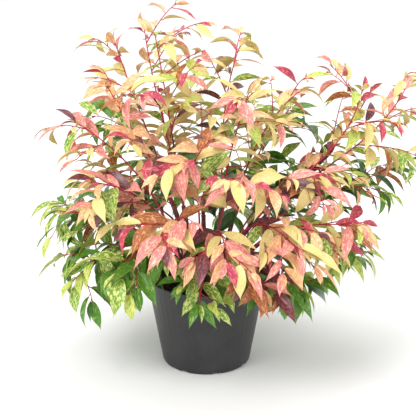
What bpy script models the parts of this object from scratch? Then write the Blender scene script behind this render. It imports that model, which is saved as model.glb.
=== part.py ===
"""Potted drooping leucothoe: a nursery pot, its soil, arching canes and the leafy shoots they carry.

Metres, +Z up. The origin is the centre of the pot's flat underside, and -Y is the front.
A cane rises from the soil and ends where its foliage begins. From there the shoot's stem goes on along
the same curve, with side twigs and drooping leaves fused to it, as one solid.
"""

import math
import random
from collections import namedtuple

import bmesh
import bpy
from mathutils import Vector
from mathutils.bvhtree import BVHTree
from mathutils.kdtree import KDTree

# Driving sizes
POT_HEIGHT = 0.145
RIM_RADIUS = 0.095
BASE_RADIUS = 0.070
WALL = 0.0020
GAP = 0.0003

# Pot details
BASE_LIFT = 0.004
FLOOR_THICKNESS = 0.002
PAD_RADIUS = 0.020
PAD_SLOPE = 0.001
RING_WIDTH = 0.006
BASE_ROUNDING = 0.004
RIM_ROUNDING = 0.0006
POT_SIDES = 48
NOTCH_COUNT = 8
NOTCH_WIDTH = 0.014
NOTCH_LENGTH = 0.030
NOTCH_HEIGHT = 0.0036
FIRST_NOTCH_DEG = -121.0
HOLE_COUNT = 4
HOLE_SIDES = 8
HOLE_RADIUS = 0.0045
HOLE_CIRCLE = 0.046
HOLE_DEPTH = 0.020

# Soil
SOIL_TOP = 0.130
SOIL_EDGE_DROP = 0.004
SOIL_FLAT_RADIUS = 0.056
SOIL_SIDES = 32

# Canes
CANE_SIDES = 5
CANE_SEGMENTS = 5
CANE_FOOT_RADIUS = 0.0030
CANE_TIP_RADIUS = 0.0021
FORKED_FOOT_RADIUS = 0.0042
FORKED_TIP_RADIUS = 0.0036
RISE_SHARE = 0.40
REACH_SHARE = 0.36
RISE_LEAN = 0.22
ARCH_GAIN = 0.50

# Stems and twigs
STEM_SIDES = 3
STEM_SEGMENTS = 5
STEM_ROOT_RADIUS = 0.0017
STEM_TIP_RADIUS = 0.0013
STEM_BARE = 0.12
FORK_OFFSET = 0.0019
FORK_FOLLOW = 0.6
TWIG_ROOT_RADIUS = 0.0014
TWIG_TIP_RADIUS = 0.0012
TWIG_BARE = 0.15
TWIG_START = 0.06
TWIG_LENGTH_SHARE = 0.60
TWIG_TAPER = 0.36
TWIG_SPLAY_DEG = 52.0
TWIG_SPLAY_RANGE_DEG = 16.0
TWIG_DROOP = 0.35
TWIG_TRIES = 12
TWIG_SHRINK = 0.50

# Leaves
LEAF_SPACING = 0.0165
LEAF_SPLAY_DEG = 56.0
LEAF_SPLAY_RANGE_DEG = 14.0
END_LEAF_SPLAY = 0.35
SIDE_TURN = 0.9
LEAF_OUTWARD = 0.25
LEAF_SAG = (0.05, 0.40)
LEAF_ROLL = 0.4
LEAF_DROOP_DEG = (18.0, 48.0)
LEAF_LENGTH_RANGE = (0.86, 1.10)
END_SHRINK = 0.25
LEAF_WIDTH_SHARE = 0.33
LEAF_WIDEST = 0.42
LEAF_DEPTH_SHARE = 0.020
KEEL_PLACE = 0.22
LEAF_ROOT_SINK = 0.0004
LEAF_FOLD = 0.10
LEAF_TRIES = 12
LEAF_SHRINK = 0.35
TIP_INSET = 0.002

# Clearances
TWIG_SLACK = -0.003
LEAF_SLACK = 0.014
LIMB_MARGIN = 0.0010
GROUND_MARGIN = 0.0100
SPINE_POINTS = 40
SEED = 20

UP = Vector((0.0, 0.0, 1.0))

Mass = namedtuple("Mass", "name tip elevation leaf twigs tone")
Cane = namedtuple("Cane", "name foot_azimuth foot_radius share masses")
Plan = namedtuple("Plan", "mass curve start tangent offset")

# Base colour and roughness of each tone
TONES = {
    "pot": ((0.024, 0.024, 0.025), 0.55),
    "soil": ((0.018, 0.011, 0.007), 0.95),
    "cane": ((0.195, 0.040, 0.035), 0.60),
    "pink": ((0.730, 0.290, 0.230), 0.45),
    "cream": ((0.780, 0.600, 0.240), 0.45),
    "bronze": ((0.300, 0.110, 0.100), 0.45),
    "green": ((0.150, 0.330, 0.040), 0.45),
    "dark": ((0.050, 0.140, 0.025), 0.45),
}

# Each cane: name, foot azimuth in degrees, foot radius, share of its curve that is bare, and its masses.
# Each mass: name, tip of its stem, elevation of the stem at the tip in degrees, leaf length, side twigs, tone.
# A second mass on a cane forks off where the first one begins.
CANES = (
    Cane("crest_twin", 205, 0.013, 0.30, (
        Mass("crest_twin_front", (-0.076, -0.020, 0.535), 80, 0.062, 4, "cream"),
        Mass("crest_twin_back", (-0.095, 0.060, 0.525), 78, 0.062, 4, "cream"),
    )),
    Cane("crest_left", 165, 0.020, 0.30, (
        Mass("crest_left_high", (-0.137, 0.030, 0.505), 72, 0.066, 3, "cream"),
        Mass("crest_left_low", (-0.143, -0.080, 0.470), 60, 0.068, 3, "pink"),
    )),
    Cane("left_upper", 188, 0.030, 0.28, (
        Mass("left_upper", (-0.195, -0.010, 0.395), 35, 0.074, 4, "pink"),
    )),
    Cane("top_centre", 30, 0.012, 0.30, (
        Mass("top_centre_high", (0.049, 0.030, 0.500), 68, 0.074, 3, "cream"),
        Mass("top_centre_low", (0.062, -0.060, 0.455), 62, 0.066, 3, "cream"),
    )),
    Cane("top_right", 24, 0.026, 0.28, (
        Mass("top_right", (0.140, 0.035, 0.430), 40, 0.070, 4, "cream"),
    )),
    Cane("crest_right", -6, 0.024, 0.30, (
        Mass("crest_right_front", (0.234, -0.015, 0.445), 80, 0.060, 4, "cream"),
        Mass("crest_right_back", (0.255, 0.080, 0.415), 60, 0.070, 4, "cream"),
    )),
    Cane("crest_far_right", 7, 0.036, 0.28, (
        Mass("crest_far_right", (0.305, 0.015, 0.445), 66, 0.068, 4, "cream"),
    )),
    Cane("left_mid", 218, 0.028, 0.26, (
        Mass("left_mid", (-0.165, -0.125, 0.340), 18, 0.078, 4, "pink"),
    )),
    Cane("centre_left", 255, 0.022, 0.26, (
        Mass("centre_left", (-0.025, -0.145, 0.380), 15, 0.080, 5, "pink"),
    )),
    Cane("centre_front", 288, 0.026, 0.26, (
        Mass("centre_front", (0.066, -0.165, 0.350), 5, 0.080, 5, "pink"),
    )),
    Cane("front_right_high", 326, 0.028, 0.26, (
        Mass("front_right_high", (0.170, -0.100, 0.345), 20, 0.078, 4, "pink"),
    )),
    Cane("front_right", 306, 0.040, 0.24, (
        Mass("front_right", (0.130, -0.190, 0.260), -25, 0.080, 5, "pink"),
        Mass("front_hem_right", (0.082, -0.165, 0.190), -40, 0.078, 3, "bronze"),
    )),
    Cane("front_left", 246, 0.042, 0.26, (
        Mass("front_left", (-0.068, -0.190, 0.275), -25, 0.080, 4, "pink"),
    )),
    Cane("front_low", 276, 0.042, 0.24, (
        Mass("front_low", (0.030, -0.205, 0.250), -35, 0.078, 5, "pink"),
        Mass("front_hem", (-0.010, -0.160, 0.165), -45, 0.074, 2, "green"),
    )),
    Cane("right_mid", 336, 0.042, 0.26, (
        Mass("right_mid", (0.215, -0.105, 0.265), 5, 0.080, 4, "cream"),
    )),
    Cane("right_arm", 14, 0.046, 0.28, (
        Mass("right_arm", (0.290, 0.070, 0.295), 22, 0.080, 4, "dark"),
    )),
    Cane("right_low", 355, 0.048, 0.28, (
        Mass("right_low", (0.228, -0.025, 0.185), -25, 0.082, 4, "green"),
    )),
    Cane("right_hem", 321, 0.048, 0.30, (
        Mass("right_hem", (0.140, -0.105, 0.165), -45, 0.085, 4, "dark"),
    )),
    Cane("left_arm", 184, 0.046, 0.26, (
        Mass("left_arm", (-0.230, -0.015, 0.255), 5, 0.080, 3, "green"),
        Mass("left_low", (-0.200, -0.085, 0.170), -38, 0.082, 3, "green"),
    )),
    Cane("left_hem", 222, 0.048, 0.26, (
        Mass("left_hem", (-0.135, -0.140, 0.200), -35, 0.080, 4, "green"),
    )),
    Cane("back_left", 140, 0.036, 0.28, (
        Mass("back_left_high", (-0.150, 0.130, 0.375), 35, 0.078, 4, "green"),
        Mass("back_left_low", (-0.205, 0.090, 0.215), -25, 0.080, 4, "dark"),
    )),
    Cane("back", 95, 0.034, 0.28, (
        Mass("back_high", (-0.010, 0.185, 0.385), 30, 0.078, 4, "cream"),
        Mass("back_low", (-0.060, 0.215, 0.220), -30, 0.080, 4, "green"),
    )),
    Cane("back_right", 50, 0.038, 0.28, (
        Mass("back_right_high", (0.135, 0.155, 0.370), 30, 0.078, 4, "green"),
        Mass("back_right_low", (0.115, 0.205, 0.215), -30, 0.080, 4, "dark"),
    )),
)


def clear_scene():
    for item in list(bpy.data.objects):
        bpy.data.objects.remove(item, do_unlink=True)


def tone_material(name):
    """One Principled material for each tone."""
    material = bpy.data.materials.get(name)
    if material:
        return material
    color, roughness = TONES[name]
    material = bpy.data.materials.new(name)
    material.use_nodes = True
    shader = material.node_tree.nodes["Principled BSDF"]
    shader.inputs["Base Color"].default_value = (*color, 1.0)
    shader.inputs["Roughness"].default_value = roughness
    shader.inputs["Metallic"].default_value = 0.0
    material.diffuse_color = (*color, 1.0)
    return material


def add_object(name, vertices, faces, tone, smooth=False):
    """A mesh object in the scene, with its faces turned outwards."""
    mesh = bpy.data.meshes.new(name)
    mesh.from_pydata([tuple(v) for v in vertices], [], faces)
    shell = bmesh.new()
    shell.from_mesh(mesh)
    bmesh.ops.recalc_face_normals(shell, faces=shell.faces)
    shell.to_mesh(mesh)
    shell.free()
    mesh.materials.append(tone_material(tone))
    if smooth:
        mesh.shade_smooth()
        mesh.set_sharp_from_angle(angle=math.radians(35.0))
    item = bpy.data.objects.new(name, mesh)
    bpy.context.scene.collection.objects.link(item)
    return item


def lathe(name, profile, sides, tone):
    """A solid turned round Z. The profile's first and last points lie on the axis."""
    vertices = []
    rings = []
    for radius, height in profile:
        if radius < 1e-9:
            rings.append([len(vertices)] * sides)
            vertices.append(Vector((0.0, 0.0, height)))
            continue
        start = len(vertices)
        rings.append([start + k for k in range(sides)])
        for k in range(sides):
            angle = 2.0 * math.pi * k / sides
            vertices.append(Vector((radius * math.cos(angle), radius * math.sin(angle), height)))
    faces = []
    for lower, upper in zip(rings, rings[1:]):
        for k in range(sides):
            j = (k + 1) % sides
            corners = []
            for index in (lower[k], lower[j], upper[j], upper[k]):
                if index not in corners:
                    corners.append(index)
            faces.append(corners)
    return add_object(name, vertices, faces, tone, smooth=True)


def wall_radius(height):
    """Outer radius of the pot's straight wall at a height."""
    return BASE_RADIUS + (RIM_RADIUS - BASE_RADIUS) * height / POT_HEIGHT


def box_cutter(name, centre, size, azimuth):
    """A box for cutting, turned about Z."""
    half = [side / 2.0 for side in size]
    corners = []
    for x in (-half[0], half[0]):
        for y in (-half[1], half[1]):
            for z in (-half[2], half[2]):
                turned = Vector((
                    x * math.cos(azimuth) - y * math.sin(azimuth),
                    x * math.sin(azimuth) + y * math.cos(azimuth),
                    z,
                ))
                corners.append(centre + turned)
    faces = [(0, 1, 3, 2), (4, 6, 7, 5), (0, 4, 5, 1), (2, 3, 7, 6), (0, 2, 6, 4), (1, 5, 7, 3)]
    return add_object(name, corners, faces, "pot")


def apply_boolean(item, pieces, operation):
    """One Boolean on a collection of pieces, applied, with the pieces then removed."""
    group = bpy.data.collections.new(item.name + "_pieces")
    bpy.context.scene.collection.children.link(group)
    for piece in pieces:
        bpy.context.scene.collection.objects.unlink(piece)
        group.objects.link(piece)
    modifier = item.modifiers.new("join", "BOOLEAN")
    modifier.operation = operation
    modifier.operand_type = "COLLECTION"
    modifier.collection = group
    modifier.solver = "EXACT"
    bpy.context.view_layer.update()
    evaluated = item.evaluated_get(bpy.context.evaluated_depsgraph_get())
    joined = bpy.data.meshes.new_from_object(evaluated)
    item.modifiers.clear()
    item.data = joined
    item.data.name = item.name
    for piece in pieces:
        bpy.data.objects.remove(piece, do_unlink=True)
    bpy.data.collections.remove(group)


def arc(centre, radius, start_deg, end_deg, steps):
    """Points (radius, height) along an arc of a turned profile."""
    points = []
    for k in range(steps + 1):
        angle = math.radians(start_deg + (end_deg - start_deg) * k / steps)
        points.append((centre[0] + radius * math.cos(angle), centre[1] + radius * math.sin(angle)))
    return points


def ring_point(radius, azimuth, height):
    return Vector((radius * math.cos(azimuth), radius * math.sin(azimuth), height))


def make_pot():
    """Tapered pot: standing ring with drain notches, centre pad, floor with drain holes, plain rim."""
    ring_outer = wall_radius(0.0) - BASE_ROUNDING
    ring_inner = ring_outer - RING_WIDTH
    floor_top = BASE_LIFT + FLOOR_THICKNESS
    profile = [
        (0.0, 0.0),
        (PAD_RADIUS, 0.0),
        (PAD_RADIUS + PAD_SLOPE, BASE_LIFT),
        (ring_inner - PAD_SLOPE, BASE_LIFT),
        (ring_inner, 0.0),
    ]
    profile += arc((ring_outer, BASE_ROUNDING), BASE_ROUNDING, -90.0, 0.0, 4)
    profile.append((wall_radius(POT_HEIGHT - RIM_ROUNDING), POT_HEIGHT - RIM_ROUNDING))
    profile.append((RIM_RADIUS - RIM_ROUNDING, POT_HEIGHT))
    profile.append((RIM_RADIUS - WALL, POT_HEIGHT))
    profile.append((wall_radius(floor_top) - WALL, floor_top))
    profile.append((0.0, floor_top))
    pot = lathe("pot", profile, POT_SIDES, "pot")
    cutters = []
    for k in range(NOTCH_COUNT):
        azimuth = math.radians(FIRST_NOTCH_DEG + 360.0 * k / NOTCH_COUNT)
        centre = ring_point(ring_inner + NOTCH_LENGTH / 2.0 - BASE_LIFT, azimuth, 0.0)
        size = (NOTCH_LENGTH, NOTCH_WIDTH, 2.0 * NOTCH_HEIGHT)
        cutters.append(box_cutter(f"notch_cutter_{k}", centre, size, azimuth))
    for k in range(HOLE_COUNT):
        azimuth = 2.0 * math.pi * (k + 0.5) / HOLE_COUNT
        ends = [ring_point(HOLE_CIRCLE, azimuth, height) for height in (-HOLE_DEPTH / 2.0, HOLE_DEPTH / 2.0)]
        rod = tube(ends, HOLE_RADIUS, HOLE_RADIUS, HOLE_SIDES)
        cutters.append(add_object(f"hole_cutter_{k}", *rod, "pot"))
    apply_boolean(pot, cutters, "DIFFERENCE")


def make_soil():
    """The soil that fills the pot, flat where the canes stand and lower at its edge."""
    floor_top = BASE_LIFT + FLOOR_THICKNESS + GAP
    edge_height = SOIL_TOP - SOIL_EDGE_DROP
    profile = [
        (0.0, floor_top),
        (wall_radius(floor_top) - WALL - GAP, floor_top),
        (wall_radius(edge_height) - WALL - GAP, edge_height),
        (SOIL_FLAT_RADIUS, SOIL_TOP),
        (0.0, SOIL_TOP),
    ]
    lathe("soil", profile, SOIL_SIDES, "soil")


def bezier(points, share):
    """Point of a cubic Bezier curve at a share of its run."""
    a, b, c, d = points
    rest = 1.0 - share
    return rest ** 3 * a + 3 * rest * rest * share * b + 3 * rest * share * share * c + share ** 3 * d


def sample(points, start, end, steps):
    return [bezier(points, start + (end - start) * k / steps) for k in range(steps + 1)]


def tip_direction(origin, mass):
    """Direction of a stem at its tip, from its azimuth and elevation."""
    away = Vector(mass.tip) - origin
    azimuth = math.atan2(away.y, away.x)
    level = math.cos(math.radians(mass.elevation))
    return Vector((
        level * math.cos(azimuth),
        level * math.sin(azimuth),
        math.sin(math.radians(mass.elevation)),
    ))


def shoot_curve(cane, mass):
    """The whole curve of a cane and its first mass, from the soil to the stem's tip."""
    azimuth = math.radians(cane.foot_azimuth)
    outward = Vector((math.cos(azimuth), math.sin(azimuth), 0.0))
    foot = outward * cane.foot_radius + UP * (SOIL_TOP + GAP)
    tip = Vector(mass.tip)
    chord = (tip - foot).length
    droop = max(0.0, -math.sin(math.radians(mass.elevation)))
    rise = foot + (UP + outward * RISE_LEAN) * chord * (RISE_SHARE + ARCH_GAIN * droop)
    reach = tip - tip_direction(foot, mass) * chord * REACH_SHARE
    return [foot, rise, reach, tip]


def fork_curve(start, tangent, mass):
    """The curve of a mass that forks off a cane's tip."""
    tip = Vector(mass.tip)
    chord = (tip - start).length
    ahead = (tip - start).normalized()
    lean = (tangent * FORK_FOLLOW + ahead * (1.0 - FORK_FOLLOW)).normalized()
    reach = chord * REACH_SHARE
    return [start, start + lean * reach, tip - tip_direction(start, mass) * reach, tip]


def frames(path, first_tangent, last_tangent):
    """Two cross directions at each point of a path, turning as little as possible along it."""
    tangents = []
    for k in range(len(path)):
        before = path[max(k - 1, 0)]
        after = path[min(k + 1, len(path) - 1)]
        tangents.append((after - before).normalized())
    tangents[0] = first_tangent or tangents[0]
    tangents[-1] = last_tangent or tangents[-1]
    side = tangents[-1].cross(UP)
    if side.length < 0.05:
        side = tangents[-1].cross(Vector((1.0, 0.0, 0.0)))
    result = []
    for tangent in tangents:
        side = (side - tangent * side.dot(tangent)).normalized()
        result.append((side, tangent.cross(side)))
    return result


def tube(path, radius_root, radius_tip, sides, first_tangent=None, last_tangent=None):
    """Vertices and faces of a tapering tube with flat ends."""
    vertices = []
    faces = []
    last = len(path) - 1
    for k, (point, (side, other)) in enumerate(zip(path, frames(path, first_tangent, last_tangent))):
        radius = radius_root + (radius_tip - radius_root) * k / last
        for j in range(sides):
            angle = math.pi / 2.0 + 2.0 * math.pi * j / sides
            vertices.append(point + (side * math.cos(angle) + other * math.sin(angle)) * radius)
    for k in range(last):
        lower = k * sides
        upper = lower + sides
        for j in range(sides):
            n = (j + 1) % sides
            faces.append((lower + j, lower + n, upper + n, upper + j))
    faces.append(tuple(range(sides - 1, -1, -1)))
    faces.append(tuple(range(last * sides, (last + 1) * sides)))
    return vertices, faces


def leaf_solid(root, direction, normal, length, droop):
    """A six-faced leaf: a root point sunk in the twig, a keel, two sides and a drooping tip."""
    side = direction.cross(normal).normalized()
    width = length * LEAF_WIDTH_SHARE
    bend = direction * math.cos(droop) - normal * math.sin(droop)
    middle = root + direction * length * LEAF_WIDEST
    lift = normal * width * LEAF_FOLD
    vertices = [
        root,
        middle + side * width * 0.5 + lift,
        middle - side * width * 0.5 + lift,
        root + direction * length * KEEL_PLACE - normal * length * LEAF_DEPTH_SHARE,
        middle + bend * length * (1.0 - LEAF_WIDEST),
    ]
    faces = [(0, 1, 2), (1, 4, 2), (0, 3, 1), (0, 2, 3), (3, 4, 1), (3, 2, 4)]
    return vertices, faces


def spread(path, spacing, start_share):
    """Evenly spaced places along a path: (point, tangent, share)."""
    lengths = [(b - a).length for a, b in zip(path, path[1:])]
    total = sum(lengths)
    count = max(1, int(total * (1.0 - start_share) / spacing))
    places = []
    for k in range(count):
        share = start_share + (1.0 - start_share) * (k + 0.5) / count
        target = share * total
        for a, b, piece in zip(path, path[1:], lengths):
            if target <= piece:
                places.append((a + (b - a) * (target / piece), (b - a).normalized(), share))
                break
            target -= piece
    return places


def side_of(tangent, sign, turn):
    """A direction square to the stem: left or right of it, turned round it a little."""
    side = tangent.cross(UP)
    if side.length < 0.30:
        side = Vector((math.cos(turn * 3.0), math.sin(turn * 3.0), 0.0))
        side = side - tangent * side.dot(tangent)
    side = side.normalized() * sign
    other = tangent.cross(side)
    return side * math.cos(turn) + other * math.sin(turn)


class Space:
    """Keeps each mass in its own space: near its own stem, and above the ground."""

    def __init__(self, spines):
        self.own = {}
        self.others = {}
        for name in spines:
            self.own[name] = self.tree(spines[name])
            self.others[name] = self.tree([p for other in spines if other != name for p in spines[other]])

    @staticmethod
    def tree(points):
        tree = KDTree(len(points))
        for index, point in enumerate(points):
            tree.insert(point, index)
        tree.balance()
        return tree

    def holds(self, name, points, slack):
        """Whether the points are nearer to the mass's own stem than to any other, give or take the slack."""
        for point in points:
            if point.z < GROUND_MARGIN:
                return False
            own = self.own[name].find(point)[2]
            other = self.others[name].find(point)[2]
            if own > other + slack:
                return False
        return True


class Crowd:
    """The solids placed so far, for finding what a new one would touch."""

    def __init__(self):
        self.members = []

    @staticmethod
    def bounds(vertices):
        low = tuple(min(v[axis] for v in vertices) for axis in range(3))
        high = tuple(max(v[axis] for v in vertices) for axis in range(3))
        return low, high

    def add(self, solid):
        self.members.append((*self.bounds(solid[0]), BVHTree.FromPolygons(*solid), solid))

    def touches(self, solid, ignored):
        low, high = self.bounds(solid[0])
        tree = BVHTree.FromPolygons(*solid)
        for other_low, other_high, other_tree, other in self.members:
            if other is ignored or any(low[k] > other_high[k] or high[k] < other_low[k] for k in range(3)):
                continue
            if tree.overlap(other_tree):
                return True
        return False


def between(a, b, steps=4):
    return [a + (b - a) * k / steps for k in range(1, steps)]


def leaf_points(vertices):
    """Corners of a leaf and points along its edges and midrib."""
    root, left, right, keel, tip = vertices
    points = [left, right, keel, tip]
    for a, b in ((root, left), (root, right), (left, tip), (right, tip), (keel, tip), (left, right)):
        points += between(a, b)
    return points


def try_leaf(mass, point, tangent, share, sign, terminal, size, rng):
    """One leaf at a place on a stem, on the given side of it."""
    splay = math.radians(LEAF_SPLAY_DEG + rng.uniform(-LEAF_SPLAY_RANGE_DEG, LEAF_SPLAY_RANGE_DEG))
    if terminal:
        splay *= END_LEAF_SPLAY
    side = side_of(tangent, sign, rng.uniform(-SIDE_TURN, SIDE_TURN))
    outward = Vector((point.x, point.y, 0.0)).normalized()
    direction = tangent * math.cos(splay) + side * math.sin(splay)
    direction = (direction + outward * LEAF_OUTWARD - UP * rng.uniform(*LEAF_SAG)).normalized()
    normal = UP * 0.8 + outward * 0.6
    normal = (normal - direction * normal.dot(direction)).normalized()
    roll = rng.uniform(-LEAF_ROLL, LEAF_ROLL)
    normal = normal * math.cos(roll) + direction.cross(normal) * math.sin(roll)
    length = mass.leaf * size * rng.uniform(*LEAF_LENGTH_RANGE) * (1.0 - END_SHRINK * share ** 3)
    root = point - direction * LEAF_ROOT_SINK
    return leaf_solid(root, direction, normal, length, math.radians(rng.uniform(*LEAF_DROOP_DEG)))


def grow_leaves(mass, path, twig, bare_share, rng, space, crowd):
    """Alternate leaves along a stem or twig, each drooping, with one at the tip."""
    places = spread(path, LEAF_SPACING, bare_share)
    end = (path[-1] - path[-2]).normalized()
    places.append((path[-1] - end * TIP_INSET, end, 1.0))
    sign = rng.choice((-1, 1))
    leaves = []
    for index, (point, tangent, share) in enumerate(places):
        sign = -sign
        terminal = index == len(places) - 1
        for attempt in range(LEAF_TRIES):
            size = 1.0 - LEAF_SHRINK * attempt / LEAF_TRIES
            leaf = try_leaf(mass, point, tangent, share, sign, terminal, size, rng)
            if space.holds(mass.name, leaf_points(leaf[0]), LEAF_SLACK) and not crowd.touches(leaf, twig):
                crowd.add(leaf)
                leaves.append(leaf)
                break
    return leaves


def try_twig(point, tangent, share, sign, length, size, rng):
    """The path of one side twig, which leaves the stem and then droops."""
    side = side_of(tangent, sign, rng.uniform(-SIDE_TURN, SIDE_TURN))
    splay = math.radians(TWIG_SPLAY_DEG + rng.uniform(-TWIG_SPLAY_RANGE_DEG, TWIG_SPLAY_RANGE_DEG))
    direction = (tangent * math.cos(splay) + side * math.sin(splay)).normalized()
    half = length * (TWIG_LENGTH_SHARE - TWIG_TAPER * share) * size / 2.0
    middle = point + direction * half
    end = middle + (direction - UP * TWIG_DROOP).normalized() * half
    return [point, middle, end]


def grow_twigs(plan, rng, space, crowd):
    """A mass's stem and its side twigs, as (path, solid) pairs."""
    path = sample(plan.curve, plan.start, 1.0, STEM_SEGMENTS)
    path = [point + plan.offset * (1.0 - k / STEM_SEGMENTS) for k, point in enumerate(path)]
    path[0] = path[0] + plan.tangent * GAP
    stem = tube(path, STEM_ROOT_RADIUS, STEM_TIP_RADIUS, STEM_SIDES, plan.tangent)
    crowd.add(stem)
    branches = [(path, stem)]
    length = sum((b - a).length for a, b in zip(path, path[1:]))
    spacing = length * (1.0 - TWIG_START) / (plan.mass.twigs + 0.5)
    sign = rng.choice((-1, 1))
    for point, tangent, share in spread(path, spacing, TWIG_START):
        sign = -sign
        for attempt in range(TWIG_TRIES):
            size = 1.0 - TWIG_SHRINK * attempt / TWIG_TRIES
            twig_path = try_twig(point, tangent, share, sign, length, size, rng)
            twig = tube(twig_path, TWIG_ROOT_RADIUS, TWIG_TIP_RADIUS, STEM_SIDES)
            root, middle, end = twig_path
            checked = between(root, middle) + [middle] + between(middle, end) + [end]
            if space.holds(plan.mass.name, checked, TWIG_SLACK) and not crowd.touches(twig, stem):
                crowd.add(twig)
                branches.append((twig_path, twig))
                break
    return branches


def join_mass(mass, solids):
    """Fuse a mass's twigs and leaves into one solid."""
    item = add_object("foliage_" + mass.name, *solids[0], mass.tone)
    pieces = []
    for k, (vertices, faces) in enumerate(solids[1:]):
        pieces.append(add_object(f"piece_{k}", vertices, faces, mass.tone))
    apply_boolean(item, pieces, "UNION")


def make_cane(cane, crowd):
    """One cane, with a level foot on the soil, and the plans of the masses that go on from its tip."""
    first = cane.masses[0]
    curve = shoot_curve(cane, first)
    path = sample(curve, 0.0, cane.share, CANE_SEGMENTS)
    tangent = (bezier(curve, cane.share + 0.01) - bezier(curve, cane.share - 0.01)).normalized()
    forked = len(cane.masses) > 1
    foot_radius = FORKED_FOOT_RADIUS if forked else CANE_FOOT_RADIUS
    tip_radius = FORKED_TIP_RADIUS if forked else CANE_TIP_RADIUS
    limb = tube(path, foot_radius, tip_radius, CANE_SIDES, UP, tangent)
    add_object("cane_" + cane.name, *limb, "cane", smooth=True)
    crowd.add(tube(path, foot_radius + LIMB_MARGIN, tip_radius + LIMB_MARGIN, CANE_SIDES, UP, tangent))
    if not forked:
        return [Plan(first, curve, cane.share, tangent, Vector((0.0, 0.0, 0.0)))]
    second = cane.masses[1]
    toward = Vector(second.tip) - Vector(first.tip)
    offset = (toward - tangent * toward.dot(tangent)).normalized() * FORK_OFFSET
    return [
        Plan(first, curve, cane.share, tangent, -offset),
        Plan(second, fork_curve(path[-1], tangent, second), 0.0, tangent, offset),
    ]


def spine(plan):
    """Close points along a mass's stem, which mark the middle of its space."""
    points = sample(plan.curve, plan.start, 1.0, SPINE_POINTS)
    return [point + plan.offset * (1.0 - k / SPINE_POINTS) for k, point in enumerate(points)]


def make_plant():
    """All canes, then all stems and twigs, then the leaves of one mass after another."""
    crowd = Crowd()
    for name in ("pot", "soil"):
        mesh = bpy.data.objects[name].data
        crowd.add(([v.co.copy() for v in mesh.vertices], [tuple(face.vertices) for face in mesh.polygons]))
    plans = [plan for cane in CANES for plan in make_cane(cane, crowd)]
    space = Space({plan.mass.name: spine(plan) for plan in plans})
    grown = []
    for index, plan in enumerate(plans):
        rng = random.Random(SEED + index)
        grown.append((plan.mass, rng, grow_twigs(plan, rng, space, crowd)))
    for mass, rng, branches in grown:
        solids = [twig for path, twig in branches]
        for order, (path, twig) in enumerate(branches):
            solids += grow_leaves(mass, path, twig, TWIG_BARE if order else STEM_BARE, rng, space, crowd)
        join_mass(mass, solids)


clear_scene()
make_pot()
make_soil()
make_plant()
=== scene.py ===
"""Potted drooping leucothoe: the looks.

Arching canes with a bark relief, crimson stems, finer twigs and some 1,600 glossy leaves grow in the places
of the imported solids, by the part's own rule. Metres, +Z up, origin at the centre of the pot's underside.
"""

import math
import random
from collections import namedtuple

import bpy
import numpy as np
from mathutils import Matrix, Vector, noise


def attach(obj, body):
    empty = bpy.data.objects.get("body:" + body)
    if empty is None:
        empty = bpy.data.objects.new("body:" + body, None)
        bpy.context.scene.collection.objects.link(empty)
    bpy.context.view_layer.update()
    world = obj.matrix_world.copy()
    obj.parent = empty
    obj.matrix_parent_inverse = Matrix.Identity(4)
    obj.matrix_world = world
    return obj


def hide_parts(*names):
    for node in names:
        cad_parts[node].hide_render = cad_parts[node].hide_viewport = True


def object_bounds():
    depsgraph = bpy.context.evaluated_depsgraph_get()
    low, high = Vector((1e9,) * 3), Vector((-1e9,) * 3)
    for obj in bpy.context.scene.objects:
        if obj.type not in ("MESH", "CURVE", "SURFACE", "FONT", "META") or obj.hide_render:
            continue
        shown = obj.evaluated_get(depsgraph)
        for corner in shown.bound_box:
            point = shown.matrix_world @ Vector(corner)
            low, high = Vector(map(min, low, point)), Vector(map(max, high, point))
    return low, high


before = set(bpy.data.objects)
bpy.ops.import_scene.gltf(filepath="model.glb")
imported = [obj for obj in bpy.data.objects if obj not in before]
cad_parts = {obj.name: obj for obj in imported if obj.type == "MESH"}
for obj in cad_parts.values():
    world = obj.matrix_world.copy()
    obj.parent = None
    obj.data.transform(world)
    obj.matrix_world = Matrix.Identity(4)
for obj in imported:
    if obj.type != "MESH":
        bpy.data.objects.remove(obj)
CAD_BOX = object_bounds()

# Photograph's camera
IMAGE_SIZE = 416
ELEVATION_DEG = 20.0
DISTANCE = 2.4
METRES_PER_PIXEL = 0.19 / 122.0
SENSOR = 36.0
TARGET = Vector((0.00265, 0.0, 0.25417))

# Pot
POT_HEIGHT = 0.145
RIM_RADIUS = 0.095
BASE_RADIUS = 0.070
WALL = 0.0020
GAP = 0.0003

# Soil
SOIL_TOP = 0.130
SOIL_EDGE_DROP = 0.004
SOIL_FLAT_RADIUS = 0.056
SOIL_CLEARANCE = 0.0010
SOIL_RINGS = 46
SOIL_SIDES = 150
SOIL_LUMP = 0.0022
COARSE_LUMPS = 70.0
FINE_LUMPS = 190.0
FINE_LUMP_SHARE = 0.6
SKIRT_INSET = 0.004
SKIRT_TOP = 0.110
SKIRT_BOTTOM = 0.007

# Bark chips on the soil
CHIP_COUNT = 420
CHIP_REACH = 0.082
CHIP_SIZE = (0.0012, 0.0042)
CHIP_WIDTH_SHARE = (0.4, 0.9)
CHIP_HEIGHT_SHARE = (0.25, 0.6)
CHIP_SINK = 0.4
CHIP_JITTER = (0.75, 1.25)
CHIP_TILT = 0.2

# Canes
CANE_SIDES = 14
CANE_SEGMENTS = 46
CANE_FOOT_RADIUS = 0.0030
CANE_TIP_RADIUS = 0.0021
FORKED_FOOT_RADIUS = 0.0042
FORKED_TIP_RADIUS = 0.0036
RISE_SHARE = 0.40
REACH_SHARE = 0.36
RISE_LEAN = 0.22
ARCH_GAIN = 0.50
CANE_FOOT_SINK = 0.003
SCAR_SPACING = 0.016
SCAR_SWELL = 0.12
SCAR_SHARPNESS = 8
BARK_RELIEF = 0.16
BARK_GRAIN = 420.0
BARK_RIDGES = 1.7

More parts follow.
